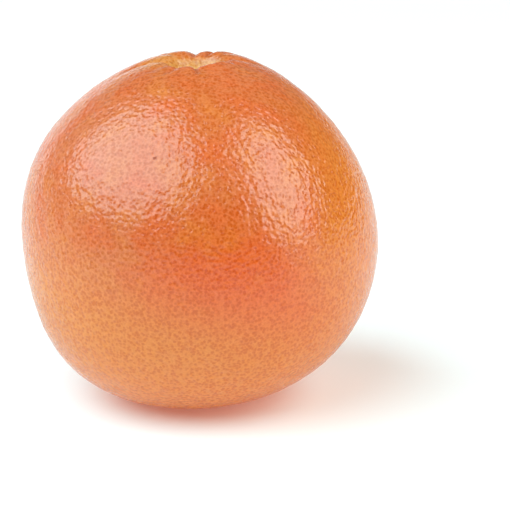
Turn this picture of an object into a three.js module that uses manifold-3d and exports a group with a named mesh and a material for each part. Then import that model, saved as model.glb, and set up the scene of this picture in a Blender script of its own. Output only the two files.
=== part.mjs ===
// A whole grapefruit, about 104 mm across, in millimetres with +Z up.
//
// The fruit is one solid. Its round form is a ball with a few gentle departures: it is
// fuller low down than at the crown, and one side swells more than the other. The crown
// sinks into a hollow where the stem grew, and furrows run out from that hollow between
// rounded lips. The underside ends in a small flat spot, on which the fruit stands.
//
// The dried calyx, which growers call the button, is the second solid. It sits in a seat
// in the floor of the hollow.
//
// The origin is at the middle of the flat spot, and the stem axis points up.

import * as THREE from "three";
import { mergeVertices } from "three/addons/utils/BufferGeometryUtils.js";
import Module from "manifold-3d";

const wasm = await Module();
wasm.setup();

// ---------------------------------------------------------------- driving dimensions

// The round form, measured from its centre
const MEAN_RADIUS = 52.2;
const REST_DEPTH = 48.5; // from the centre down to the flat spot
const AXIS_OFFSET = -0.6; // from the middle of the width to the stem axis

// Departures from a ball, each the distance at the crown that its term adds
const CROWN_RISE = 1.27; // a crown that stands up, over a base that is drawn in
const END_FLATTENING = 1.0; // both ends a little flat, and fuller between
const LOW_FULLNESS = 0.93; // a belly that swells low, above the flat spot

// Shift of the round form from the stem axis towards +X, and the swelling of its side
// at -X, which becomes a lack at +X
const SIDE_SHIFT = 0.8;
const SIDE_SLANT = -2.6;
const SIDE_SWELL = -4.05;
const SIDE_TUCK = 5.7;
const SHOULDER_SLOPE = 0.5; // by which the shoulders at both sides fall away

// The hollow at the stem end
const HOLLOW_DEPTH = 7; // below where the round form would be
const HOLLOW_WIDTH = 7.3; // from the axis to the steep part of its wall
const HOLLOW_STEEPNESS = 4; // higher gives a flatter floor and a steeper wall

// The furrows: direction in degrees from +X, depth at the lip, width of one flank, and
// how far from the axis each one runs before it has faded out. A direction two degrees
// past a multiple of four puts the bottom of a furrow on an edge of the mesh.
const FURROWS = [
  { at: -90, depth: 1.1, flank: 0.9, reach: 15 },
  { at: -22, depth: 0.6, flank: 1.6, reach: 18 },
  { at: 10, depth: 1.2, flank: 1.7, reach: 22 },
  { at: 42, depth: 0.6, flank: 1.4, reach: 18 },
  { at: 70, depth: 1.8, flank: 1.3, reach: 24 },
  { at: 94, depth: 2.0, flank: 2.0, reach: 27 },
  { at: 134, depth: 0.6, flank: 1.6, reach: 18 },
  { at: 170, depth: 1.6, flank: 2.0, reach: 26 },
  { at: -154, depth: 0.6, flank: 1.5, reach: 18 },
  { at: -126, depth: 0.9, flank: 1.6, reach: 17 },
];
const FURROW_START = 6.5; // from the axis, where furrows begin in the hollow
const LIP_INNER = 10; // furrows are at their full depth between these two
const LIP_OUTER = 11;
const FURROW_BLUNTING = 0.15; // rounding of a furrow's bottom where it leaves the lip

// Lips that stand higher than the rest: direction, height, how many degrees each side of
// it they spread, and how far from the axis they stand and how broad they are there
const SWELLS = [
  { at: -50, height: 1.0, spread: 34, radius: 8.5, breadth: 4.5 },
  { at: -108, height: 0.4, spread: 14, radius: 8.5, breadth: 4.5 },
  { at: 76, height: 0.65, spread: 50, radius: 14, breadth: 6 },
];

// The button, with the stub of the clipped stem on it, and the seat that it sits in
const BUTTON_RADIUS = 4.1;
const BUTTON_LOBES = 5;
const LOBE_SIZE = 0.45; // how far a lobe stands out past that radius
const BUTTON_EDGE = 0.75; // thickness at the rim of the button
const BUTTON_DOME = 1.05; // thickness at the foot of the stub
const STUB_RADIUS = 1.15;
const STUB_HEIGHT = 1.85; // top of the stub over the button's underside
const STUB_DIP = 0.2; // the dried pith in the middle of the stub has sunk
const STUB_X = -0.9; // from the middle of the button to the middle of the stub
const BUTTON_X = -0.9; // the button sits a little off the stem axis
const BUTTON_FLOOR = 46.6; // its underside, over the centre of the round form
const BEVEL = 0.25;
const SEAT_GAP = 0.3; // clearance all round and underneath
const SEAT_HEIGHT = 3; // of the cutter, which reaches up past the hollow's floor

// The mesh
const SEGMENTS = 90; // one every four degrees
const RING_BANDS = [
  { to: 15, step: 0.9 },
  { to: 27, step: 1.5 },
  { to: 180, step: 4.5 },
]; // degrees down from the crown
const BUTTON_SEGMENTS = 60;
const MERGE_DISTANCE = 1e-3;

// ------------------------------------------------------------------------- the form

function smoothStep(low, high, value) {
  return THREE.MathUtils.smoothstep(value, low, high);
}

// Distance from the centre to the round form, without its hollow. theta is measured
// down from the crown and phi round the stem axis from +X.
function roundRadius(theta, phi) {
  const up = Math.cos(theta);
  const out = Math.sin(theta);
  const rise = CROWN_RISE * (5 * up ** 3 - 3 * up) / 2;
  const flat = END_FLATTENING * (35 * up ** 4 - 30 * up ** 2 + 3) / 8;
  const belly = LOW_FULLNESS * (63 * up ** 5 - 70 * up ** 3 + 15 * up) / 8;
  const swelling = out * up * (SIDE_SLANT + SIDE_SWELL * up + SIDE_TUCK * up ** 2);
  const side = Math.cos(phi) * out * (SIDE_SHIFT + swelling);
  const sloped = up > 0 ? Math.sin(2 * theta) ** 2 * Math.cos(phi) ** 4 : 0;
  return MEAN_RADIUS + rise - flat + belly + side - SHOULDER_SLOPE * sloped;
}

function hollowDrop(outward) {
  return HOLLOW_DEPTH * Math.exp(-((outward / HOLLOW_WIDTH) ** HOLLOW_STEEPNESS));
}

// The angle from one direction to another round the stem axis, in radians.
function angleFrom(at, phi) {
  const turn = phi - THREE.MathUtils.degToRad(at);
  return Math.abs(Math.atan2(Math.sin(turn), Math.cos(turn)));
}

// Each furrow is a crease between two lips that round over into it, sharp at the lip and
// blunter further out.
function furrowDrop(outward, phi) {
  const blunt = FURROW_BLUNTING * (outward / LIP_OUTER) ** 3;
  let drop = 0;
  for (const { at, depth, flank, reach } of FURROWS) {
    const across = Math.hypot(outward * angleFrom(at, phi), blunt) - blunt;
    const begins = smoothStep(FURROW_START, LIP_INNER, outward);
    const fades = 1 - smoothStep(LIP_OUTER, reach, outward);
    drop += depth * begins * fades * Math.exp(-across / flank);
  }
  return drop;
}

function lipRise(outward, phi) {
  let rise = 0;
  for (const { at, height, spread, radius, breadth } of SWELLS) {
    const across = (outward - radius) / breadth;
    const away = angleFrom(at, phi) / THREE.MathUtils.degToRad(spread);
    rise += height * Math.exp(-(across ** 2) - away ** 2);
  }
  return rise;
}

function fruitPoint(theta, phi) {
  const radius = roundRadius(theta, phi);
  const outward = radius * Math.sin(theta);
  let height = radius * Math.cos(theta);
  if (height > 0) {
    height += lipRise(outward, phi) - hollowDrop(outward) - furrowDrop(outward, phi);
  }
  height = Math.max(height, -REST_DEPTH);
  return new THREE.Vector3(
    outward * Math.cos(phi) + AXIS_OFFSET,
    outward * Math.sin(phi),
    height + REST_DEPTH,
  );
}

// ----------------------------------------------------------------- meshes and solids

function solidOf(geometry) {
  const bare = geometry.clone();
  bare.deleteAttribute("normal");
  bare.deleteAttribute("uv");
  const merged = mergeVertices(bare, MERGE_DISTANCE);
  return new wasm.Manifold(new wasm.Mesh({
    numProp: 3,
    vertProperties: merged.attributes.position.array,
    triVerts: new Uint32Array(merged.index.array),
  }));
}

function geometryOf(solid) {
  const mesh = solid.getMesh();
  const geometry = new THREE.BufferGeometry();
  geometry.setAttribute("position", new THREE.BufferAttribute(mesh.vertProperties, 3));
  geometry.setIndex(new THREE.BufferAttribute(mesh.triVerts, 1));
  geometry.computeVertexNormals();
  return geometry;
}

// A profile of [outward, height] points turned about +Z, from the bottom to the top.
function turned(profile, segments) {
  const points = profile.map(([outward, height]) => new THREE.Vector2(outward, height));
  return new THREE.LatheGeometry(points, segments).rotateX(Math.PI / 2);
}

function moveVertices(geometry, place) {
  const position = geometry.attributes.position;
  const vertex = new THREE.Vector3();
  for (let i = 0; i < position.count; i += 1) {
    vertex.fromBufferAttribute(position, i);
    const moved = place(vertex);
    position.setXYZ(i, moved.x, moved.y, moved.z);
  }
  return geometry;
}

// ------------------------------------------------------------------------- the fruit

// Rings lie close together at the crown, where the furrows are, and wider elsewhere.
function ringAngles() {
  const angles = [0];
  for (const { to, step } of RING_BANDS) {
    const from = angles[angles.length - 1];
    const count = Math.round((to - from) / step);
    for (let i = 1; i <= count; i += 1) {
      angles.push(from + (to - from) * i / count);
    }
  }
  return angles;
}

function fruitBody() {
  const profile = ringAngles().reverse().map((degrees) => {
    const theta = THREE.MathUtils.degToRad(degrees);
    const outward = degrees % 180 === 0 ? 0 : Math.sin(theta);
    return [outward, Math.cos(theta)];
  });
  return moveVertices(turned(profile, SEGMENTS), (vertex) => {
    const theta = Math.acos(THREE.MathUtils.clamp(vertex.z, -1, 1));
    const phi = Math.atan2(vertex.y, vertex.x);
    return fruitPoint(theta, phi);
  });
}

// ------------------------------------------------------------------------ the button

// A turned shape becomes five-lobed by moving its rim in and out.
function lobed(profile, radius) {
  return moveVertices(turned(profile, BUTTON_SEGMENTS), (vertex) => {
    const outward = Math.hypot(vertex.x, vertex.y);
    const phi = Math.atan2(vertex.y, vertex.x);
    const rim = smoothStep(STUB_RADIUS, radius, outward);
    const scale = 1 + rim * LOBE_SIZE * Math.cos(BUTTON_LOBES * phi) / radius;
    const aside = STUB_X * (1 - rim);
    return vertex.set(vertex.x * scale + aside, vertex.y * scale, vertex.z);
  });
}

function placeButton(geometry, lift) {
  return geometry.translate(BUTTON_X + AXIS_OFFSET, 0, REST_DEPTH + BUTTON_FLOOR + lift);
}

function buttonBody() {
  const between = (BUTTON_RADIUS + STUB_RADIUS) / 2;
  const shoulder = BUTTON_DOME - BEVEL / 2;
  const profile = [
    [0, 0],
    [STUB_RADIUS, 0],
    [between, 0],
    [BUTTON_RADIUS - BEVEL, 0],
    [BUTTON_RADIUS, BEVEL],
    [BUTTON_RADIUS, BUTTON_EDGE - BEVEL],
    [BUTTON_RADIUS - BEVEL, BUTTON_EDGE],
    [between, shoulder],
    [STUB_RADIUS + BEVEL, BUTTON_DOME],
    [STUB_RADIUS, BUTTON_DOME + BEVEL],
    [STUB_RADIUS, STUB_HEIGHT - BEVEL],
    [STUB_RADIUS - BEVEL, STUB_HEIGHT],
    [STUB_RADIUS / 2, STUB_HEIGHT - STUB_DIP],
    [0, STUB_HEIGHT - STUB_DIP],
  ];
  return placeButton(lobed(profile, BUTTON_RADIUS), 0);
}

function seatCutter() {
  const radius = BUTTON_RADIUS + SEAT_GAP;
  const profile = [
    [0, 0],
    [radius, 0],
    [radius, SEAT_HEIGHT],
    [0, SEAT_HEIGHT],
  ];
  return placeButton(lobed(profile, radius), -SEAT_GAP);
}

// ---------------------------------------------------------------------- the assembly

function part(name, geometry, color, roughness) {
  const material = new THREE.MeshStandardMaterial({ color, roughness, metalness: 0 });
  const mesh = new THREE.Mesh(geometry, material);
  mesh.name = name;
  return mesh;
}

const fruit = solidOf(fruitBody()).subtract(solidOf(seatCutter()));
const button = solidOf(buttonBody());

const grapefruit = new THREE.Group();
grapefruit.name = "grapefruit";
grapefruit.add(part("fruit", geometryOf(fruit), 0xe5774a, 0.35));
grapefruit.add(part("stem_button", geometryOf(button), 0x7a6238, 0.8));

export default grapefruit;
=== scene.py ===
"""A whole grapefruit and its dried calyx button, in a plain studio.

Each piece has an operator of its own, and so has the stage. Lengths are in metres, with +Z
up and the middle of the flat spot that the fruit stands on at the origin.
"""

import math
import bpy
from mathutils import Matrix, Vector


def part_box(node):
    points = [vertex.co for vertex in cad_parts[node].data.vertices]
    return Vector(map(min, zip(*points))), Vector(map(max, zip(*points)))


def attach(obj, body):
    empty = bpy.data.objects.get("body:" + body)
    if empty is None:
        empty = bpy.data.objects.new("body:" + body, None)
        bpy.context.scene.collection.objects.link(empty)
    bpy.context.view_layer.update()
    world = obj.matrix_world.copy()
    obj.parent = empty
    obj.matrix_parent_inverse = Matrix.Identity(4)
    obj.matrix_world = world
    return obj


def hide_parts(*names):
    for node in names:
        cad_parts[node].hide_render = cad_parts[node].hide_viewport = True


bl_info = {
    "name": "Whole grapefruit",
    "version": (1, 0, 0),
    "blender": (4, 5, 0),
    "location": "3D View > Sidebar > Grapefruit",
    "description": "Grows a grapefruit with its calyx button and lights it on a pale floor",
    "category": "Add Mesh",
}

import bmesh
import bpy
import numpy as np
from mathutils import Matrix, Vector

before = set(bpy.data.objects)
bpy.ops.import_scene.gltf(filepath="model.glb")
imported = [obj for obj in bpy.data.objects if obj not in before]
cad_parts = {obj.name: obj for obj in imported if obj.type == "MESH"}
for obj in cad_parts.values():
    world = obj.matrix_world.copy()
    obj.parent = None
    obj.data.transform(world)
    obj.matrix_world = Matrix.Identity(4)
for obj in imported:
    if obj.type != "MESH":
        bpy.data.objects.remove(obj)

MM = 0.001

# ------------------------------------------------------------------- the form of the fruit

CENTRE_HEIGHT = 48.5 * MM  # of the centre of the round form over the floor

# Departures of the round form from a ball, each the distance at the crown that it adds
CROWN_RISE = 1.27 * MM  # a crown that stands up, over a base that is drawn in
END_FLATTENING = 1.0 * MM  # both ends a little flat, and fuller between
LOW_FULLNESS = 0.93 * MM  # a belly that swells low, above the flat spot

# Shift of the round form from the stem axis towards +X, and the swelling of its -X side
AXIS_OFFSET = -0.6 * MM
SIDE_SHIFT = 0.8 * MM
SIDE_SLANT = -2.6 * MM
SIDE_SWELL = -4.05 * MM
SIDE_TUCK = 5.7 * MM
SHOULDER_SLOPE = 0.5 * MM  # by which the shoulders at both sides fall away

HOLLOW_STEEPNESS = 4
CROWN_ANGLE = 0.7  # radians from the stem axis within which the furrows lie

# The furrows that run out of the hollow: direction in degrees from +X, depth at the lip,
# width of one flank, how far from the axis each one has faded out, and how much painted
# shade darkens the crease in its bottom
FURROWS = (
    (-90, 1.1 * MM, 0.6 * MM, 15 * MM, 0.45),
    (-22, 0.6 * MM, 1.6 * MM, 18 * MM, 0.1),
    (10, 1.2 * MM, 1.7 * MM, 22 * MM, 0.2),
    (42, 0.6 * MM, 1.4 * MM, 18 * MM, 0.1),
    (70, 1.8 * MM, 1.3 * MM, 24 * MM, 0.3),
    (94, 2.0 * MM, 2.0 * MM, 27 * MM, 0.3),
    (134, 0.6 * MM, 1.6 * MM, 18 * MM, 0.1),
    (170, 1.6 * MM, 2.0 * MM, 26 * MM, 0.2),
    (-154, 0.6 * MM, 1.5 * MM, 18 * MM, 0.05),
    (-126, 0.9 * MM, 1.6 * MM, 17 * MM, 0.1),
)
FURROW_START = 6.5 * MM
LIP_INNER = 10 * MM
LIP_OUTER = 11 * MM
FURROW_BLUNTING = 0.15 * MM
WAVER = 4  # degrees by which a furrow wanders
WAVER_LENGTH = 3 * MM  # outward, for each radian of its wandering

# Painted shade in the crease at the bottom of a furrow: where it begins and is full, how
# far before the furrow's end it starts to fade, and its width
CREASE_START = 8.5 * MM
CREASE_FULL = 10 * MM
CREASE_FADING = 4 * MM
CREASE_WIDTH = 0.4 * MM

# Fine wrinkles round the hollow, between the furrows
WRINKLES = 43
WRINKLE_DEPTH = 0.015 * MM
WRINKLE_RING = 12 * MM
WRINKLE_BREADTH = 4.5 * MM

# Lips that stand higher than the rest: direction, height, degrees they spread, and how
# far from the axis each one stands and how broad it is there
SWELLS = (
    (-50, 1.0 * MM, 34, 8.5 * MM, 4.5 * MM),
    (-108, 0.4 * MM, 14, 8.5 * MM, 4.5 * MM),
    (76, 0.65 * MM, 50, 14 * MM, 6 * MM),
)

# The seat under the button, and the scar of the blossom in the middle of the flat spot
BUTTON_X = -0.9 * MM
BUTTON_FLOOR = 46.6 * MM  # the button's underside, over the centre of the round form
STUB_X = -0.9 * MM  # from the middle of the button to the middle of the stub
SEAT_GAP = 0.3 * MM
SEAT_WALL = 0.35 * MM
SEAT_ANGLE = 0.5  # radians from the stem axis within which the seat lies
SCAR_RADIUS = 2.3 * MM
SCAR_DEPTH = 0.5 * MM
SCAR_ANGLE = 2.5  # radians from the crown beyond which the scar lies

# Small healed scabs: where each one is on the peel, and its radius
SCABS = (
    ((-12.1 * MM, -38.2 * MM, 81.8 * MM), 0.6 * MM),
    ((23.4 * MM, -38.4 * MM, 75.1 * MM), 0.35 * MM),
    ((26.7 * MM, -40.4 * MM, 67.9 * MM), 0.35 * MM),
    ((-38.5 * MM, 28.0 * MM, 68.0 * MM), 0.5 * MM),
    ((12.0 * MM, 46.5 * MM, 34.0 * MM), 0.4 * MM),
    ((44.5 * MM, 20.5 * MM, 33.0 * MM), 0.35 * MM),
)

# The mesh: each side of the cube is halved this many times, and the rings of faces are
# crowded towards the crown, where the furrows are
HALVINGS = 7
CROWN_CROWDING = 0.5
UV_MARGIN = 0.006

# Relief pressed into the peel: its grain, the share of its height that lies inwards of the
# form, and the strip above the flat spot that stays smooth
PEBBLE_SIZE = 1.9 * MM
LUMP_SIZE = 11 * MM
INWARD_SHARE = 0.95
SMOOTH_STRIP = 0.4 * MM

# The button. Its top rises in steps from the rim to the stub: how wide each one is beside
# the others, and its share of the rise
BUTTON_SIDES = 60
SEPAL_STEPS = ((0.3, 1 / 3), (1.0, 1 / 3), (1.2, 1 / 6), (0.45, 1 / 6))
STUB_BEVEL = (0.2 * MM, 0.05 * MM)  # how far in, and up
PITH_INSET = 0.3 * MM
ROUNDING = 0.12 * MM
RIBS = 23
RIB_DEPTH = 0.06 * MM
FOLD_DEPTH = 0.3 * MM
RIB_START_UP = (0.2 * MM, 0.6 * MM)  # heights between which ribs and folds set in
RIB_START_OUT = (1.3 * MM, 2.4 * MM)  # and distances from the middle

# ----------------------------------------------------------------------- colour and gloss

# The glands: how unevenly they stand, where the pit and the darker dot over each one are
# full and where they end, in gland spacings, and how strong the dot and the mottling are
GLAND_UNEVENNESS = 0.92
PIT_REACH = (0.05, 0.55)
DOT_REACH = (0.2, 0.68)
DOT_STRENGTH = 0.75
MOTTLE_STRENGTH = 0.45

# Grain of each pattern on the peel, and the height of the two that only bend the light
BLOTCH_SIZE = 30 * MM
PATCH_SIZE = 9 * MM
SPECK_GRAIN = 0.52 * MM
PEBBLE_GRAIN = 1.2 * MM
PEBBLE_HEIGHT = 0.22 * MM
FINE_GRAIN = 0.55 * MM
FINE_HEIGHT = 0.03 * MM

# The way that the blushed side faces, how far out along it the blush begins and is full,
# its strength there, and how far the blotches move it
SUNNY_SIDE = (0.16, -0.93, -0.33)
BLUSH_RANGE = (42 * MM, 57 * MM)
BLUSH_STRENGTH = 0.85
BLUSH_WANDER = 16 * MM
PATCH_STRENGTH = 0.45  # of blush and of straw colour in the smaller patches

# Sides that are straw coloured: the way each one faces, how far out along it the colour
# begins and is full, and its strength there. The blotches move it the other way. Low down
# the lighter straw is partly the peel's own colour and partly painted bounce light from
# the floor.
STRAW_AND_BOUNCE_WANDER = -12 * MM
STRAW_AND_BOUNCE_SIDES = (
    ((-0.2, 0.0, -0.98), -14 * MM, 18 * MM, 0.95),
    ((0.98, -0.1, 0.1), 20 * MM, 42 * MM, 0.8),
)

# Pale places at the stem end, the hollow last: the middle, the distances at which the
# colour ends and is full, and its strength there
PALE_PLACES = (
    ((AXIS_OFFSET - 10 * MM, 2 * MM, 99 * MM), 11 * MM, 3 * MM, 0.4),
    ((AXIS_OFFSET, 0, 97 * MM), 9.5 * MM, 5 * MM, 0.9),
)

# Scabs: how ragged the edge is, how far past the radius it ends and is full, and the
# strength of the colour
SCAB_RAGGEDNESS = 1.2 * MM
SCAB_EDGE = (0.8 * MM, 0.3 * MM)
SCAB_STRENGTH = 0.85

# Roughness of the wax and of a crease with painted shade, the shade that gives it in full,
# and what a scab and the hollow add
WAX_ROUGHNESS = 0.2
CREASE_ROUGHNESS = 0.6
FULL_CREASE_SHADE = 0.5
SCAB_DULLING = 0.55
HOLLOW_DULLING = 0.3

# The button's stains and bark, and the middle of the stub with the distances from it at
# which the darker join and the pith end and are full
STAIN_GRAIN = 2.2 * MM
BARK_GRAIN = 0.35 * MM
BARK_HEIGHT = 0.12 * MM
STUB_MIDDLE = (BUTTON_X + AXIS_OFFSET + STUB_X, 0, 96.8 * MM)
JOIN_RANGE = (1.9 * MM, 1.3 * MM)
PITH_RANGE = (1.1 * MM, 0.75 * MM)
STUB_STRENGTH = 0.85

# ------------------------------------------------------------------------------ the stage

# The floor. A range of distances from its middle says where a change begins and where it
# is full. The sheet glows more strongly far off, and close by a painted warm bounce light
# makes it a little brighter and warmer.
# Two of its sides have painted shade between a first and a second range, and glow less
# there.
FLOOR_SIZE = 8
GLOW_RANGE = (0.4, 2.0)
GLOW_STRENGTH = (0.24, 0.9)
PAINTED_BOUNCE_RANGE = (34 * MM, 20 * MM)
PAINTED_BOUNCE_GLOW = 0.02
SHADED_SIDES = ((0.45, -0.89, 0.0), (-0.95, -0.3, 0.0))
SHADE_START = (0.15, 0.34)
SHADE_END = (0.8, 1.3)
SHADED_GLOW = 0.5

SOFTBOX_DISTANCE = 1.5
CLOTH_EDGE = (0.5, 0.34)  # where its light ends and is full, in widths from its middle
SENSOR_WIDTH = 36  # of the camera, in millimetres

# The fruit stands left of the middle of the view and a little above it
AIM_X = 0.2 * MM
LEFT_OF_MIDDLE = 15.93 * MM
ABOVE_MIDDLE = 6.56 * MM

# Cosines of the angle from +X between which the surround turns warm
WARM_RANGE = (0.0, 0.6)

# Parts of the surround: the way to the middle of each, the cosine of the angle from there
# at which it begins and is full, and its brightness outside and inside
SURROUND_PARTS = (
    ((-1.0, 0.0, 0.0), -0.5, 0.9, 0.1, 0.14),
    ((-0.6, 0.8, 0.0), 0.7, 0.97, 0.0, 0.18),
    ((-0.3, 0.92, -0.25), 0.78, 0.98, 0.0, 0.85),
    ((0.52, 0.65, 0.55), 0.75, 1.0, 0.0, 0.35),
    ((0.0, 0.0, -1.0), -0.06, -0.03, 0.0, 0.8),
)


def smoothstep(low, high, value):
    """0 below low and 1 above high, with a smooth rise between."""
    part = np.clip((value - low) / (high - low), 0.0, 1.0)
    return part * part * (3.0 - 2.0 * part)


def round_radius(form, theta, phi):
    """Distance from the centre to the round form. theta is down from the crown."""
    up, out = np.cos(theta), np.sin(theta)
    rise = CROWN_RISE * (5 * up**3 - 3 * up) / 2
    flat = END_FLATTENING * (35 * up**4 - 30 * up**2 + 3) / 8
    belly = LOW_FULLNESS * (63 * up**5 - 70 * up**3 + 15 * up) / 8
    swelling = out * up * (SIDE_SLANT + SIDE_SWELL * up + SIDE_TUCK * up**2)
    side = np.cos(phi) * out * (SIDE_SHIFT + swelling)
    slope = np.where(up > 0, np.sin(2 * theta) ** 2, 0)
    shoulder = SHOULDER_SLOPE * np.cos(phi) ** 4 * slope
    return form.mean_radius + rise - flat + belly + side - shoulder


def angle_from(at, phi):
    """The angle round the stem axis between a direction in degrees and phi."""
    turn = phi - math.radians(at)
    return np.abs(np.arctan2(np.sin(turn), np.cos(turn)))


def furrow_drop(form, outward, phi):
    """How far the furrows sink the peel."""
    blunt = FURROW_BLUNTING * (outward / LIP_OUTER) ** 3
    begins = smoothstep(FURROW_START, LIP_INNER, outward)
    drop = np.zeros_like(outward)
    for at, depth, flank, reach, _ in FURROWS:
        across = np.hypot(outward * angle_from(at, phi + waver(outward, at)), blunt) - blunt
        fades = 1 - smoothstep(LIP_OUTER, reach, outward)
        drop += depth * begins * fades * np.exp(-across / flank)
    return drop * form.furrow_depth


def waver(outward, at):
    """How far a furrow has wandered from its direction, in radians."""
    own = math.cos(at)  # only gives each furrow a swing of its own
    return math.radians(WAVER) * own * np.sin((outward - LIP_INNER) / WAVER_LENGTH)


def crease_shade_line(outward, phi):
    """Painted shade in the bottom of a furrow, which is 0 away from it."""
    begins = smoothstep(CREASE_START, CREASE_FULL, outward)
    line = np.zeros_like(outward)
    for at, _, _, reach, stain_and_shade in FURROWS:
        across = outward * angle_from(at, phi + waver(outward, at)) / CREASE_WIDTH
        fades = 1 - smoothstep(reach - CREASE_FADING, reach, outward)
        line = np.maximum(line, begins * fades * np.exp(-(across**2)) * stain_and_shade)
    return line


def wrinkle_drop(outward, phi):
    """Fine wrinkles that run out of the hollow beside the furrows, in bunches."""
    bunched = 0.5 + 0.5 * np.sin(5 * phi + 0.8)
    ring = np.exp(-(((outward - WRINKLE_RING) / WRINKLE_BREADTH) ** 2))
    return WRINKLE_DEPTH * ring * bunched * np.sin(WRINKLES * phi + 2.2 * np.sin(3 * phi))


def lip_rise(outward, phi):
    """How far the swollen lips stand up."""
    rise = np.zeros_like(outward)
    for at, height, spread, radius, breadth in SWELLS:
        profile = np.exp(-(((outward - radius) / breadth) ** 2))
        away = angle_from(at, phi) / math.radians(spread)
        rise += height * profile * np.exp(-(away**2))
    return rise


def fruit_points(form, button, directions):
    """Places unit directions on the fruit's skin, and says how much painted shade each
    place has in a furrow's bottom.
    """
    first = np.arccos(np.clip(directions[:, 2], -1, 1))
    theta = first - CROWN_CROWDING * np.sin(first) * (1 + np.cos(first)) / 2
    phi = np.arctan2(directions[:, 1], directions[:, 0])
    radius = round_radius(form, theta, phi)
    outward = radius * np.sin(theta)
    height = radius * np.cos(theta)
    steep = (outward / form.hollow_width) ** HOLLOW_STEEPNESS
    hollow = form.hollow_depth * np.exp(-steep)
    crown = lip_rise(outward, phi) - hollow - furrow_drop(form, outward, phi)
    crown -= wrinkle_drop(outward, phi)
    height = np.where(height > 0, height + crown, height)
    height = np.maximum(height, -form.rest_depth)

    # The peel steps down into a seat round the button
    x, y = outward * np.cos(phi), outward * np.sin(phi)
    turn = np.arctan2(y, x - BUTTON_X)
    rim = button.radius + button.lobe_size * np.cos(button.lobes * turn)
    from_rim = np.hypot(x - BUTTON_X, y) - rim
    seated = (1 - smoothstep(0.0, SEAT_WALL, from_rim)) * (theta < SEAT_ANGLE)
    seat = np.minimum(height, BUTTON_FLOOR - SEAT_GAP)
    height = height + (seat - height) * seated

    scar = SCAR_DEPTH * np.exp(-((outward / SCAR_RADIUS) ** 4))
    height = np.where(theta > SCAR_ANGLE, height + scar, height)
    points = np.column_stack((x + AXIS_OFFSET, y, height + form.rest_depth))
    crease_shade = np.where(theta < CROWN_ANGLE, crease_shade_line(outward, phi), 0.0)
    return points, crease_shade


# ------------------------------------------------------------------------- small helpers


def linear(hex_colour):
    """An sRGB hex colour as linear red, green, blue and an alpha of 1."""
    parts = [int(hex_colour[i : i + 2], 16) / 255 for i in (1, 3, 5)]
    return tuple(
        [p / 12.92 if p <= 0.04045 else ((p + 0.055) / 1.055) ** 2.4 for p in parts] + [1.0]
    )


def add(tree, kind, inputs=None, **settings):
    """Adds a node. An input takes a value, or the socket of an earlier node."""
    made = tree.nodes.new(kind)
    for name, value in settings.items():
        setattr(made, name, value)
    for name, value in (inputs or {}).items():
        if isinstance(value, bpy.types.NodeSocket):
            tree.links.new(value, made.inputs[name])
        else:
            made.inputs[name].default_value = value
    return made


def new_material(name):
    """An empty material, and the tree of its nodes."""
    material = bpy.data.materials.new(name)
    material.use_nodes = True
    material.node_tree.nodes.clear()
    return material, material.node_tree


def deselect():
    """Nothing is selected and nothing is in edit mode."""
    if bpy.context.object and bpy.context.object.mode != "OBJECT":
        bpy.ops.object.mode_set(mode="OBJECT")
    bpy.ops.object.select_all(action="DESELECT")


def named(name):
    """The active object, with a name for itself and its mesh."""
    made = bpy.context.object
    made.name = name
    made.data.name = name
    return made


def colour_property(name, description, hex_colour):
    """A colour that the user can change, kept as linear values."""
    return bpy.props.FloatVectorProperty(
        name=name,
        description=description,
        subtype="COLOR",
        size=4,
        min=0.0,
        max=1.0,
        default=linear(hex_colour),
    )


def length_property(name, description, default):
    """A length that the user can change."""
    return bpy.props.FloatProperty(
        name=name,
        description=description,
        subtype="DISTANCE",
        unit="LENGTH",
        precision=5,
        min=0.0,
        default=default,
    )


# ---------------------------------------------------------------------------- properties


class FruitSettings(bpy.types.PropertyGroup):
    """Sizes and colours of the fruit."""

    mean_radius: length_property("Mean radius", "Of the round form", 52.2 * MM)
    rest_depth: length_property(
        "Rest depth", "From the centre of the form down to the flat spot", CENTRE_HEIGHT
    )
    hollow_depth: length_property("Hollow depth", "Of the hollow at the stem end", 7 * MM)
    hollow_width: length_property(
        "Hollow width",
        "From the stem axis to the steep part of the hollow's wall",
        7.3 * MM,
    )
    furrow_depth: bpy.props.FloatProperty(
        name="Furrow depth",
        description="Depth of the furrows, as a share of the usual one",
        subtype="FACTOR",
        min=0.0,
        max=1.0,
        default=1.0,
    )
    gland_spacing: length_property(
        "Gland spacing", "From one oil gland to the next", 1.08 * MM
    )
    pit_depth: length_property("Pit depth", "Of the pit over each oil gland", 0.05 * MM)
    pebbling: length_property(
        "Pebbling", "Height of the unevenness between the glands", 0.25 * MM
    )
    lumps: length_property("Lumps", "Height of the broad unevenness of the peel", 0.25 * MM)
    ground: colour_property("Peel", "Colour of most of the peel", "#d76f40")
    blush: colour_property("Blush", "Colour where the fruit saw the sun", "#e35d1e")
    # Straw colour, which low down is partly painted bounce light from the floor
    straw_and_bounce: colour_property("Straw", "Colour low down and at the shaded side", "#e2822e")
    hollow: colour_property("Hollow", "Colour in the hollow at the stem end", "#e5a859")
    gland: colour_property("Gland", "Tint over an oil gland", "#e6c273")
    scab: colour_property("Scab", "Colour of healed scars", "#983a12")
    # Painted shade in the bottom of a furrow
    crease_shade: colour_property("Crease", "Colour in the bottom of a furrow", "#ac4708")


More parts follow.
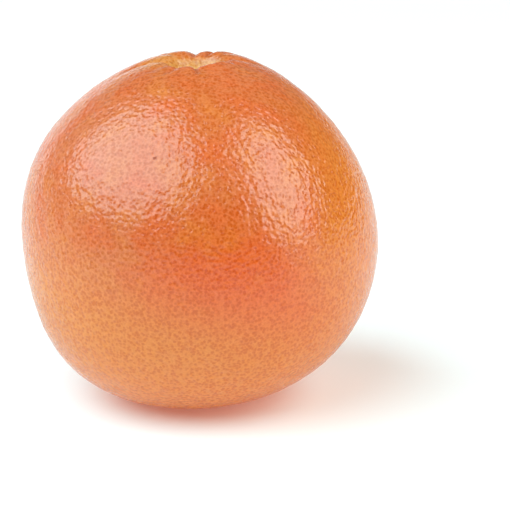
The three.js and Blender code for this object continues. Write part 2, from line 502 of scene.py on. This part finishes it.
class ButtonSettings(bpy.types.PropertyGroup):
    """Sizes and colours of the calyx button."""

    radius: length_property("Radius", "Of the button, between its lobes", 4.1 * MM)
    lobe_size: length_property("Lobe size", "How far a lobe stands out", 0.45 * MM)
    lobes: bpy.props.IntProperty(
        name="Lobes", description="Sepals round the button", min=3, max=8, default=5
    )
    edge: length_property("Edge", "Thickness at the rim", 0.75 * MM)
    dome: length_property("Dome", "Thickness at the foot of the stub", 1.05 * MM)
    stub_radius: length_property("Stub radius", "Of the clipped stem", 1.15 * MM)
    stub_height: length_property("Stub height", "Of the clipped stem's top", 1.8 * MM)
    stub_dip: length_property("Stub dip", "How far the dried pith has sunk", 0.2 * MM)
    bark: colour_property("Bark", "Colour of the dried sepals", "#7c5230")
    moss: colour_property("Moss", "Colour where some green is left", "#a07c4a")
    pith: colour_property("Pith", "Colour of the cut end of the stem", "#b39a6c")
    dark_join: colour_property("Grime", "Colour of the join round the stub", "#4a3420")


class StageSettings(bpy.types.PropertyGroup):
    """Floor, lights and camera."""

    floor: colour_property("Floor", "Colour of the floor", "#e9e7e5")
    # Painted shade on the floor in front and at the left
    painted_floor_shade: colour_property(
        "Graded", "Colour of the floor in front and at the left", "#d8c8bc"
    )
    glow: colour_property("Glow", "Colour of the light from under the floor", "#ffece4")
    # Painted bounce light under the fruit
    painted_bounce: colour_property(
        "Close glow", "Colour of that light under the fruit", "#ffb69e"
    )
    left_power: bpy.props.FloatProperty(
        name="Left softbox",
        description="Radiance of the softbox on the left",
        min=0.0,
        default=4.2,
    )
    right_power: bpy.props.FloatProperty(
        name="Right softbox",
        description="Radiance of the softbox on the right",
        min=0.0,
        default=4.3,
    )
    left_tint: colour_property(
        "Left tint", "Colour of the softbox on the left", "#cef4ff"
    )
    right_tint: colour_property(
        "Right tint", "Colour of the softbox on the right", "#ebffff"
    )
    warm: colour_property("Warm", "Colour of the surround on the right", "#ffcc96")
    surround: bpy.props.FloatProperty(
        name="Surround",
        description="Brightness of the surround, as a multiple of the usual one",
        min=0.0,
        default=1.0,
    )
    distance: length_property("Distance", "From the camera to the fruit", 0.9)
    elevation: bpy.props.FloatProperty(
        name="Elevation",
        description="Of the camera above the floor's plane",
        subtype="ANGLE",
        unit="ROTATION",
        default=math.radians(17),
    )
    focal_length: bpy.props.FloatProperty(
        name="Focal length",
        description="In millimetres, on a sensor 36 mm wide",
        min=1.0,
        default=218.7,
    )


# ----------------------------------------------------------------------------- materials


def waxed_grapefruit_rind(settings):
    """Grapefruit rind, washed and waxed in the packing house.

    The thin wax gives a soft gloss that breaks up over the pebbled skin, and the oil
    glands under it show as small darker pits.
    """
    material, tree = new_material("waxed_grapefruit_rind")
    place = add(tree, "ShaderNodeTexCoord").outputs["Object"]

    # The oil glands. Those whose middle lies near the skin leave a pit and a dot, so these
    # stand wider apart than the spacing.
    glands = add(
        tree,
        "ShaderNodeTexVoronoi",
        {
            "Vector": place,
            "Scale": 1 / settings.gland_spacing,
            "Randomness": GLAND_UNEVENNESS,
        },
        feature="F1",
    ).outputs["Distance"]
    pit = add(
        tree,
        "ShaderNodeMapRange",
        {"Value": glands, 1: PIT_REACH[0], 2: PIT_REACH[1], 3: 1.0, 4: 0.0},
        interpolation_type="SMOOTHSTEP",
    ).outputs[0]
    dot = add(
        tree,
        "ShaderNodeMapRange",
        {"Value": glands, 1: DOT_REACH[0], 2: DOT_REACH[1], 3: 1.0, 4: 0.0},
        interpolation_type="SMOOTHSTEP",
    ).outputs[0]

    # Unevenness of the skin between the glands, about 2.4 mm and 1.1 mm from rise to rise
    fine = add(
        tree,
        "ShaderNodeTexNoise",
        {"Vector": place, "Scale": 1 / FINE_GRAIN, "Detail": 1.0},
    ).outputs["Fac"]
    pebble = add(
        tree,
        "ShaderNodeTexNoise",
        {"Vector": place, "Scale": 1 / PEBBLE_GRAIN, "Detail": 0.0},
    ).outputs["Fac"]
    pits = add(
        tree, "ShaderNodeMath", {0: pit, 1: -settings.pit_depth}, operation="MULTIPLY"
    ).outputs[0]
    with_fine = add(
        tree,
        "ShaderNodeMath",
        {0: fine, 1: FINE_HEIGHT, 2: pits},
        operation="MULTIPLY_ADD",
    ).outputs[0]
    height = add(
        tree,
        "ShaderNodeMath",
        {0: pebble, 1: PEBBLE_HEIGHT, 2: with_fine},
        operation="MULTIPLY_ADD",
    ).outputs[0]
    bump = add(
        tree, "ShaderNodeBump", {"Height": height, "Distance": 1.0, "Strength": 1.0}
    ).outputs["Normal"]

    # Blush on the side that saw the sun, and straw colour low down, where it is partly
    # painted bounce light from the floor, at the +X side and in the hollow, all of it
    # broken up in broad blotches
    centred = add(
        tree,
        "ShaderNodeVectorMath",
        {0: place, 1: (0.0, 0.0, CENTRE_HEIGHT)},
        operation="SUBTRACT",
    ).outputs[0]
    blotch = add(
        tree,
        "ShaderNodeTexNoise",
        {"Vector": place, "Scale": 1 / BLOTCH_SIZE, "Detail": 4.0},
    ).outputs["Fac"]
    sunward = add(
        tree,
        "ShaderNodeVectorMath",
        {0: centred, 1: SUNNY_SIDE},
        operation="DOT_PRODUCT",
    ).outputs["Value"]
    sunned = add(
        tree,
        "ShaderNodeMath",
        {0: blotch, 1: BLUSH_WANDER, 2: sunward},
        operation="MULTIPLY_ADD",
    ).outputs[0]
    blush = add(
        tree,
        "ShaderNodeMapRange",
        {"Value": sunned, 1: BLUSH_RANGE[0], 2: BLUSH_RANGE[1], 3: 0.0, 4: BLUSH_STRENGTH},
        interpolation_type="SMOOTHSTEP",
    ).outputs[0]
    skin = add(
        tree,
        "ShaderNodeMix",
        {0: blush, 6: settings.ground, 7: settings.blush},
        data_type="RGBA",
    ).outputs[2]
    patches = add(
        tree,
        "ShaderNodeTexNoise",
        {"Vector": place, "Scale": 1 / PATCH_SIZE, "Detail": 2.0},
    ).outputs["Fac"]
    for low, high, tone in ((0.5, 0.75, settings.straw_and_bounce), (0.5, 0.3, settings.blush)):
        patched = add(
            tree,
            "ShaderNodeMapRange",
            {"Value": patches, 1: low, 2: high, 3: 0.0, 4: PATCH_STRENGTH},
        ).outputs[0]
        skin = add(
            tree, "ShaderNodeMix", {0: patched, 6: skin, 7: tone}, data_type="RGBA"
        ).outputs[2]
    # Low down the lighter straw colour is partly painted bounce light from the floor
    for direction, low, high, most in STRAW_AND_BOUNCE_SIDES:
        shaded = add(
            tree,
            "ShaderNodeVectorMath",
            {0: centred, 1: direction},
            operation="DOT_PRODUCT",
        ).outputs["Value"]
        pale = add(
            tree,
            "ShaderNodeMath",
            {0: blotch, 1: STRAW_AND_BOUNCE_WANDER, 2: shaded},
            operation="MULTIPLY_ADD",
        ).outputs[0]
        straw_and_bounce = add(
            tree,
            "ShaderNodeMapRange",
            {"Value": pale, 1: low, 2: high, 3: 0.0, 4: most},
            interpolation_type="SMOOTHSTEP",
        ).outputs[0]
        skin = add(
            tree, "ShaderNodeMix", {0: straw_and_bounce, 6: skin, 7: settings.straw_and_bounce}, data_type="RGBA"
        ).outputs[2]
    for spot, low, high, most in PALE_PLACES:
        away = add(
            tree, "ShaderNodeVectorMath", {0: place, 1: spot}, operation="DISTANCE"
        ).outputs["Value"]
        in_hollow = add(
            tree,
            "ShaderNodeMapRange",
            {"Value": away, 1: low, 2: high, 3: 0.0, 4: most},
            interpolation_type="SMOOTHSTEP",
        ).outputs[0]
        skin = add(
            tree,
            "ShaderNodeMix",
            {0: in_hollow, 6: skin, 7: settings.hollow},
            data_type="RGBA",
        ).outputs[2]

    # The darker glands, and a fine mottling between them
    speck = add(
        tree,
        "ShaderNodeTexNoise",
        {"Vector": place, "Scale": 1 / SPECK_GRAIN, "Detail": 0.0},
    ).outputs["Fac"]
    mottle = add(
        tree,
        "ShaderNodeMapRange",
        {"Value": speck, 1: 0.7, 2: 0.3, 3: 0.0, 4: MOTTLE_STRENGTH},
    ).outputs[0]
    shade = add(
        tree,
        "ShaderNodeMath",
        {0: dot, 1: DOT_STRENGTH, 2: mottle},
        operation="MULTIPLY_ADD",
    ).outputs[0]
    skin = add(
        tree,
        "ShaderNodeMix",
        {0: shade, 6: skin, 7: settings.gland},
        data_type="RGBA",
        blend_type="MULTIPLY",
    ).outputs[2]

    # Healed scars with a ragged edge, and painted shade in the furrows
    scarred = 0.0
    for spot, size in SCABS:
        away = add(
            tree, "ShaderNodeVectorMath", {0: place, 1: spot}, operation="DISTANCE"
        ).outputs["Value"]
        ragged = add(
            tree,
            "ShaderNodeMath",
            {0: speck, 1: SCAB_RAGGEDNESS, 2: away},
            operation="MULTIPLY_ADD",
        ).outputs[0]
        scab = add(
            tree,
            "ShaderNodeMapRange",
            {
                "Value": ragged,
                1: size + SCAB_EDGE[0],
                2: size + SCAB_EDGE[1],
                3: 0.0,
                4: SCAB_STRENGTH,
            },
        ).outputs[0]
        scarred = add(
            tree, "ShaderNodeMath", {0: scarred, 1: scab}, operation="MAXIMUM"
        ).outputs[0]
    skin = add(
        tree, "ShaderNodeMix", {0: scarred, 6: skin, 7: settings.scab}, data_type="RGBA"
    ).outputs[2]
    # Painted shade darkens the bottom of each furrow
    crease_shade = add(tree, "ShaderNodeAttribute", attribute_name="crease_shade").outputs["Fac"]
    skin = add(
        tree, "ShaderNodeMix", {0: crease_shade, 6: skin, 7: settings.crease_shade}, data_type="RGBA"
    ).outputs[2]

    # The wax has little gloss on a scar, in the bottom of a furrow and in the hollow
    dulled = add(
        tree,
        "ShaderNodeMapRange",
        {"Value": crease_shade, 1: 0.0, 2: FULL_CREASE_SHADE, 3: WAX_ROUGHNESS, 4: CREASE_ROUGHNESS},
    ).outputs[0]
    for share, dulling in ((scarred, SCAB_DULLING), (in_hollow, HOLLOW_DULLING)):
        dulled = add(
            tree,
            "ShaderNodeMath",
            {0: share, 1: dulling, 2: dulled},
            operation="MULTIPLY_ADD",
        ).outputs[0]

    surface = add(
        tree,
        "ShaderNodeBsdfPrincipled",
        {
            "Base Color": skin,
            "Roughness": dulled,
            "IOR": 1.45,
            "Specular IOR Level": 0.68,
            "Normal": bump,
        },
    )
    add(tree, "ShaderNodeOutputMaterial", {"Surface": surface.outputs[0]})
    return material


def dried_calyx(settings):
    """Citrus calyx, dried on the fruit: dull, woody and finely wrinkled."""
    material, tree = new_material("dried_calyx")
    place = add(tree, "ShaderNodeTexCoord").outputs["Object"]
    stain_and_shade = add(
        tree,
        "ShaderNodeTexNoise",
        {"Vector": place, "Scale": 1 / STAIN_GRAIN, "Detail": 4.0},
    ).outputs["Fac"]
    spread = add(
        tree, "ShaderNodeMapRange", {"Value": stain_and_shade, 1: 0.35, 2: 0.65, 3: 0.0, 4: 1.0}
    ).outputs[0]
    colour = add(
        tree,
        "ShaderNodeMix",
        {0: spread, 6: settings.bark, 7: settings.moss},
        data_type="RGBA",
    ).outputs[2]

    # The cut end of the stem is paler, and the join round the stub is darker
    from_stub = add(
        tree, "ShaderNodeVectorMath", {0: place, 1: STUB_MIDDLE}, operation="DISTANCE"
    ).outputs["Value"]
    for reach, tone in ((JOIN_RANGE, settings.dark_join), (PITH_RANGE, settings.pith)):
        near = add(
            tree,
            "ShaderNodeMapRange",
            {"Value": from_stub, 1: reach[0], 2: reach[1], 3: 0.0, 4: STUB_STRENGTH},
            interpolation_type="SMOOTHSTEP",
        ).outputs[0]
        colour = add(
            tree, "ShaderNodeMix", {0: near, 6: colour, 7: tone}, data_type="RGBA"
        ).outputs[2]

    # The fine wrinkles of the dry bark
    grain = add(
        tree,
        "ShaderNodeTexNoise",
        {"Vector": place, "Scale": 1 / BARK_GRAIN, "Detail": 3.0},
    ).outputs["Fac"]
    height = add(
        tree, "ShaderNodeMath", {0: grain, 1: BARK_HEIGHT}, operation="MULTIPLY"
    ).outputs[0]
    bump = add(
        tree, "ShaderNodeBump", {"Height": height, "Distance": 1.0, "Strength": 1.0}
    ).outputs["Normal"]
    surface = add(
        tree,
        "ShaderNodeBsdfPrincipled",
        {"Base Color": colour, "Roughness": 0.8, "Normal": bump},
    )
    add(tree, "ShaderNodeOutputMaterial", {"Surface": surface.outputs[0]})
    return material


def opal_light_table(settings):
    """Opal acrylic sheet, cast and sanded matt, over a light box.

    Its own glow keeps the shadow under the fruit thin and pale. The sheet glows more
    strongly far off, where less light falls on it. In front and at the left it has painted
    shade, browner and dimmer for a while, so that the low part of the fruit mirrors less of
    it.
    """
    material, tree = new_material("opal_light_table")
    place = add(tree, "ShaderNodeTexCoord").outputs["Object"]
    away = add(
        tree, "ShaderNodeVectorMath", {0: place}, operation="LENGTH"
    ).outputs["Value"]
    far_glow = add(
        tree,
        "ShaderNodeMapRange",
        {
            "Value": away,
            1: GLOW_RANGE[0],
            2: GLOW_RANGE[1],
            3: GLOW_STRENGTH[0],
            4: GLOW_STRENGTH[1],
        },
        interpolation_type="SMOOTHSTEP",
    ).outputs[0]
    # Painted shade: in front and at the left the floor is browner and glows less, for a
    # while
    aside = 0.0
    for direction in SHADED_SIDES:
        along = add(
            tree, "ShaderNodeVectorMath", {0: place, 1: direction}, operation="DOT_PRODUCT"
        ).outputs["Value"]
        aside = add(
            tree, "ShaderNodeMath", {0: aside, 1: along}, operation="MAXIMUM"
        ).outputs[0]
    shade_share = add(
        tree,
        "ShaderNodeMapRange",
        {"Value": aside, 1: SHADE_START[0], 2: SHADE_START[1], 3: 0.0, 4: 1.0},
        interpolation_type="SMOOTHSTEP",
    ).outputs[0]
    within = add(
        tree,
        "ShaderNodeMapRange",
        {"Value": away, 1: SHADE_END[0], 2: SHADE_END[1], 3: 1.0, 4: 0.0},
        interpolation_type="SMOOTHSTEP",
    ).outputs[0]
    shade_share = add(
        tree, "ShaderNodeMath", {0: shade_share, 1: within}, operation="MULTIPLY"
    ).outputs[0]
    shaded_colour = add(
        tree,
        "ShaderNodeMix",
        {0: shade_share, 6: settings.floor, 7: settings.painted_floor_shade},
        data_type="RGBA",
    ).outputs[2]
    lit = add(
        tree,
        "ShaderNodeMapRange",
        {"Value": shade_share, 1: 0.0, 2: 1.0, 3: 1.0, 4: SHADED_GLOW},
    ).outputs[0]
    glow = add(
        tree, "ShaderNodeMath", {0: far_glow, 1: lit}, operation="MULTIPLY"
    ).outputs[0]

    # Painted bounce light: where the fruit nearly touches the sheet, the glow is a little
    # stronger and tinted warm, like light thrown back by the peel
    close = add(
        tree,
        "ShaderNodeMapRange",
        {"Value": away, 1: PAINTED_BOUNCE_RANGE[0], 2: PAINTED_BOUNCE_RANGE[1], 3: 0.0, 4: 1.0},
        interpolation_type="SMOOTHSTEP",
    ).outputs[0]
    warmth = add(
        tree,
        "ShaderNodeMix",
        {0: close, 6: settings.glow, 7: settings.painted_bounce},
        data_type="RGBA",
    ).outputs[2]
    glow = add(
        tree, "ShaderNodeMath", {0: close, 1: PAINTED_BOUNCE_GLOW, 2: glow}, operation="MULTIPLY_ADD"
    ).outputs[0]
    surface = add(
        tree,
        "ShaderNodeBsdfPrincipled",
        {
            "Base Color": shaded_colour,
            "Roughness": 0.6,
            "Emission Color": warmth,
            "Emission Strength": glow,
        },
    )
    add(tree, "ShaderNodeOutputMaterial", {"Surface": surface.outputs[0]})
    return material


# ----------------------------------------------------------------------------- operators


class GrowFruit(bpy.types.Operator):
    """Grow the fruit from a finely divided cube."""

    bl_idname = "grapefruit.grow_fruit"
    bl_label = "Grow fruit"
    bl_options = {"REGISTER", "UNDO"}

    def execute(self, context):
        settings = context.scene.grapefruit_fruit
        button = context.scene.grapefruit_button
        deselect()
        bpy.ops.mesh.primitive_cube_add(size=2, calc_uvs=True)
        fruit = named("grapefruit_rind")
        layer = fruit.data.uv_layers[0]
        layer.name = "OFBake"
        self.lay_out(fruit.data, layer)

        bpy.ops.object.mode_set(mode="EDIT")
        bpy.ops.mesh.select_all(action="SELECT")
        for _ in range(HALVINGS):
            bpy.ops.mesh.subdivide(number_cuts=1)
        bpy.ops.object.mode_set(mode="OBJECT")

        mesh = fruit.data
        corners = np.empty(len(mesh.vertices) * 3)
        mesh.vertices.foreach_get("co", corners)
        # Even angles across each side keep the faces near one size all round
        directions = np.tan(corners.reshape(-1, 3) * math.pi / 4)
        directions /= np.linalg.norm(directions, axis=1)[:, None]
        points, crease_shade = fruit_points(settings, button, directions)
        mesh.vertices.foreach_set("co", points.ravel())
        # Painted shade for the bottoms of the furrows, kept on the mesh for the material
        mesh.attributes.new("crease_shade", "FLOAT", "POINT").data.foreach_set("value", crease_shade)
        mesh.update()
        bpy.ops.object.shade_smooth()

        self.relief(fruit, "pebbling", PEBBLE_SIZE, settings.pebbling)
        self.relief(fruit, "lumps", LUMP_SIZE, settings.lumps)

        fruit.data.materials.clear()
        fruit.data.materials.append(waxed_grapefruit_rind(settings))
        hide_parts("fruit")
        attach(fruit, "root")
        return {"FINISHED"}

    def lay_out(self, mesh, layer):
        """Gives each side of the cube a cell of its own in the UV map, three to a row."""
        cell = Vector((1 / 3, 1 / 2))
        for face in mesh.polygons:
            column, row = face.index % 3, face.index // 3
            for turn, loop in enumerate(face.loop_indices):
                across = (UV_MARGIN, 1 - UV_MARGIN)[turn in (1, 2)]
                along = (UV_MARGIN, 1 - UV_MARGIN)[turn in (2, 3)]
                layer.data[loop].uv = ((column + across) * cell.x, (row + along) * cell.y)

    def relief(self, fruit, name, size, height):
        """Presses real unevenness into the peel, nearly all of it inwards of the form."""
        texture = bpy.data.textures.new(name, "CLOUDS")
        texture.noise_scale = size
        texture.noise_depth = 1
        group = fruit.vertex_groups.get("free") or fruit.vertex_groups.new(name="free")
        free = [v.index for v in fruit.data.vertices if v.co.z > SMOOTH_STRIP]
        group.add(free, 1.0, "REPLACE")
        bpy.ops.object.modifier_add(type="DISPLACE")
        modifier = fruit.modifiers[-1]
        modifier.name = name
        modifier.texture = texture
        modifier.texture_coords = "LOCAL"
        modifier.strength = height
        modifier.mid_level = INWARD_SHARE
        modifier.vertex_group = group.name
        bpy.ops.object.modifier_apply(modifier=name)


class AddButton(bpy.types.Operator):
    """Add the dried calyx button with the stub of the stem on it."""

    bl_idname = "grapefruit.add_button"
    bl_label = "Add calyx button"
    bl_options = {"REGISTER", "UNDO"}

    def execute(self, context):
        settings = context.scene.grapefruit_button
        lowest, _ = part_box("stem_button")
        deselect()
        bpy.ops.mesh.primitive_cylinder_add(
            vertices=BUTTON_SIDES,
            radius=settings.radius,
            depth=settings.edge,
            location=(0, 0, settings.edge / 2),
        )
        button = named("calyx_button")
        bpy.ops.object.transform_apply(location=True, rotation=False, scale=False)
        bpy.ops.object.mode_set(mode="EDIT")
        bpy.ops.mesh.select_mode(type="FACE")
        bpy.ops.mesh.select_all(action="DESELECT")
        form = bmesh.from_edit_mesh(button.data)
        for face in form.faces:
            face.select = face.normal.z > 0.9
        bmesh.update_edit_mesh(button.data)
        part = (settings.radius - settings.stub_radius) / sum(w for w, _ in SEPAL_STEPS)
        rise = settings.dome - settings.edge
        for width, share in SEPAL_STEPS:
            bpy.ops.mesh.inset(thickness=width * part, depth=share * rise)
        inward, upward = STUB_BEVEL
        raised = settings.stub_height - settings.dome - upward
        bpy.ops.mesh.extrude_region_move(TRANSFORM_OT_translate={"value": (0, 0, raised)})
        bpy.ops.mesh.inset(thickness=inward, depth=upward)
        bpy.ops.mesh.inset(thickness=PITH_INSET, depth=-settings.stub_dip)
        bpy.ops.object.mode_set(mode="OBJECT")
        self.round_over(button)
        foot = Vector((BUTTON_X + AXIS_OFFSET, 0, lowest[2]))
        for vertex in button.data.vertices:
            x, y, z = vertex.co
            outward = math.hypot(x, y)
            turn = math.atan2(y, x)
            rim = float(smoothstep(settings.stub_radius, settings.radius, outward))
            between = 0.5 - 0.5 * math.cos(settings.lobes * turn)
            grown = 1 + settings.lobe_size * rim * (1 - 2 * between) / max(outward, MM)
            # The sepals fold down towards each other and have dried into ribs
            ribs = RIB_DEPTH * math.sin(RIBS * turn + 2 * math.sin(2 * turn))
            upper = float(
                smoothstep(*RIB_START_UP, z) * smoothstep(*RIB_START_OUT, outward)
            )
            fold = (FOLD_DEPTH * between**3 + ribs) * upper
            aside = STUB_X * (1 - rim)
            vertex.co = Vector((x * grown + aside, y * grown, z - fold)) + foot
        bpy.ops.object.shade_smooth()
        button.data.materials.clear()
        button.data.materials.append(dried_calyx(settings))
        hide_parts("stem_button")
        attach(button, "root")
        return {"FINISHED"}

    def round_over(self, button):
        """Rounds the button's edges, and divides its faces finely enough for ribs."""
        bpy.ops.object.modifier_add(type="BEVEL")
        bevel = button.modifiers[-1]
        bevel.width = ROUNDING
        bevel.segments = 2
        bevel.limit_method = "ANGLE"
        bpy.ops.object.modifier_apply(modifier=bevel.name)
        bpy.ops.object.modifier_add(type="SUBSURF")
        divided = button.modifiers[-1]
        divided.levels = 2
        bpy.ops.object.modifier_apply(modifier=divided.name)


class SetStage(bpy.types.Operator):
    """Lay the floor, hang the lights and place the camera."""

    bl_idname = "grapefruit.set_stage"
    bl_label = "Set stage"
    bl_options = {"REGISTER", "UNDO"}

    def execute(self, context):
        settings = context.scene.grapefruit_stage
        deselect()
        bpy.ops.mesh.primitive_plane_add(size=FLOOR_SIZE)
        floor = named("floor")
        floor.data.materials.append(opal_light_table(settings))

        centre = Vector((0, 0, CENTRE_HEIGHT))
        self.softbox(
            "softbox_left",
            centre,
            direction=Vector((-0.609, -0.240, 0.756)),
            along=Vector((0.52, -0.84, 0.14)),
            size=(3.3, 2.15),
            radiance=settings.left_power,
            tint=settings.left_tint,
        )
        self.softbox(
            "softbox_right",
            centre,
            direction=Vector((0.775, -0.246, 0.584)),
            along=Vector((-0.43, 0.45, 0.78)),
            size=(2.2, 1.3),
            radiance=settings.right_power,
            tint=settings.right_tint,
        )
        self.surround(context.scene, settings)

        aim = Vector((AIM_X, 0, CENTRE_HEIGHT))
        back = Vector((0, -math.cos(settings.elevation), math.sin(settings.elevation)))
        place = aim + back * settings.distance
        upward = Vector((0, math.sin(settings.elevation), math.cos(settings.elevation)))
        towards = aim + Vector((LEFT_OF_MIDDLE, 0, 0)) - upward * ABOVE_MIDDLE
        turn = (towards - place).to_track_quat("-Z", "Y").to_euler()
        bpy.ops.object.camera_add(location=place, rotation=turn)
        camera = named("camera")
        camera.data.lens = settings.focal_length
        camera.data.sensor_width = SENSOR_WIDTH
        camera.data.clip_start = 0.01
        context.scene.camera = camera
        context.scene.view_settings.view_transform = "Standard"
        return {"FINISHED"}

    def softbox(self, name, centre, direction, along, size, radiance, tint):
        """Hangs a softbox that faces the fruit, with its long side turned along a line.

        Its light falls off towards the edge of the cloth.
        """
        backward = direction.normalized()
        side = (along - backward * along.dot(backward)).normalized()
        upward = backward.cross(side)
        turned = [[side[i], upward[i], backward[i]] for i in range(3)]
        bpy.ops.object.light_add(
            type="AREA",
            location=centre + backward * SOFTBOX_DISTANCE,
            rotation=Matrix(turned).to_euler(),
        )
        lamp = bpy.context.object
        lamp.name = name
        lamp.data.shape = "ELLIPSE"
        lamp.data.size, lamp.data.size_y = size
        # An area light of W watts gives W / (pi * area) of radiance, over pi for its lobe
        area = math.pi / 4 * size[0] * size[1]
        lamp.data.energy = radiance * area * math.pi
        lamp.data.use_nodes = True
        tree = lamp.data.node_tree
        tree.nodes.clear()
        across = add(tree, "ShaderNodeNewGeometry").outputs["Parametric"]
        from_middle = add(
            tree,
            "ShaderNodeVectorMath",
            {0: across, 1: (0.5, 0.5, 0.0)},
            operation="DISTANCE",
        ).outputs["Value"]
        cloth = add(
            tree,
            "ShaderNodeMapRange",
            {"Value": from_middle, 1: CLOTH_EDGE[0], 2: CLOTH_EDGE[1], 3: 0.0, 4: 1.0},
            interpolation_type="SMOOTHSTEP",
        ).outputs[0]
        glow = add(tree, "ShaderNodeEmission", {"Color": tint, "Strength": cloth})
        add(tree, "ShaderNodeOutputLight", {"Surface": glow.outputs[0]})

    def surround(self, scene, settings):
        """A dim surround, brighter behind and below the fruit, and warmer at the right."""
        world = bpy.data.worlds.new("pale_surround")
        scene.world = world
        world.use_nodes = True
        tree = world.node_tree
        tree.nodes.clear()
        place = add(tree, "ShaderNodeTexCoord").outputs["Generated"]
        strength = 0.0
        for direction, low, high, dim, bright in SURROUND_PARTS:
            along = add(
                tree,
                "ShaderNodeVectorMath",
                {0: place, 1: direction},
                operation="DOT_PRODUCT",
            ).outputs["Value"]
            part = add(
                tree,
                "ShaderNodeMapRange",
                {
                    "Value": along,
                    1: low,
                    2: high,
                    3: dim * settings.surround,
                    4: bright * settings.surround,
                },
                interpolation_type="SMOOTHSTEP",
            ).outputs[0]
            strength = add(
                tree, "ShaderNodeMath", {0: strength, 1: part}, operation="ADD"
            ).outputs[0]
        rightward = add(
            tree,
            "ShaderNodeVectorMath",
            {0: place, 1: (1.0, 0.0, 0.0)},
            operation="DOT_PRODUCT",
        ).outputs["Value"]
        warmed = add(
            tree,
            "ShaderNodeMapRange",
            {"Value": rightward, 1: WARM_RANGE[0], 2: WARM_RANGE[1], 3: 0.0, 4: 1.0},
            interpolation_type="SMOOTHSTEP",
        ).outputs[0]
        colour = add(
            tree,
            "ShaderNodeMix",
            {0: warmed, 6: (1, 1, 1, 1), 7: settings.warm},
            data_type="RGBA",
        ).outputs[2]
        sky = add(tree, "ShaderNodeBackground", {"Strength": strength, "Color": colour})
        add(tree, "ShaderNodeOutputWorld", {"Surface": sky.outputs[0]})


class GrapefruitPanel(bpy.types.Panel):
    """Lists the operators and their settings."""

    bl_idname = "VIEW3D_PT_grapefruit"
    bl_label = "Grapefruit"
    bl_space_type = "VIEW_3D"
    bl_region_type = "UI"
    bl_category = "Grapefruit"

    def draw(self, context):
        for operator, settings in (
            (GrowFruit, context.scene.grapefruit_fruit),
            (AddButton, context.scene.grapefruit_button),
            (SetStage, context.scene.grapefruit_stage),
        ):
            box = self.layout.box()
            box.operator(operator.bl_idname)
            for name in settings.__annotations__:
                box.prop(settings, name)


CLASSES = (
    FruitSettings,
    ButtonSettings,
    StageSettings,
    GrowFruit,
    AddButton,
    SetStage,
    GrapefruitPanel,
)


def register():
    """Registers the classes and hangs their settings on the scene."""
    for made in CLASSES:
        bpy.utils.register_class(made)
    bpy.types.Scene.grapefruit_fruit = bpy.props.PointerProperty(type=FruitSettings)
    bpy.types.Scene.grapefruit_button = bpy.props.PointerProperty(type=ButtonSettings)
    bpy.types.Scene.grapefruit_stage = bpy.props.PointerProperty(type=StageSettings)


def unregister():
    """Takes back what register did."""
    del bpy.types.Scene.grapefruit_stage
    del bpy.types.Scene.grapefruit_button
    del bpy.types.Scene.grapefruit_fruit
    for made in reversed(CLASSES):
        bpy.utils.unregister_class(made)


def main():
    """Makes everything."""
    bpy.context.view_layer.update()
    register()
    bpy.ops.grapefruit.grow_fruit()
    bpy.ops.grapefruit.add_button()
    bpy.ops.grapefruit.set_stage()


if __name__ == "__main__":
    main()
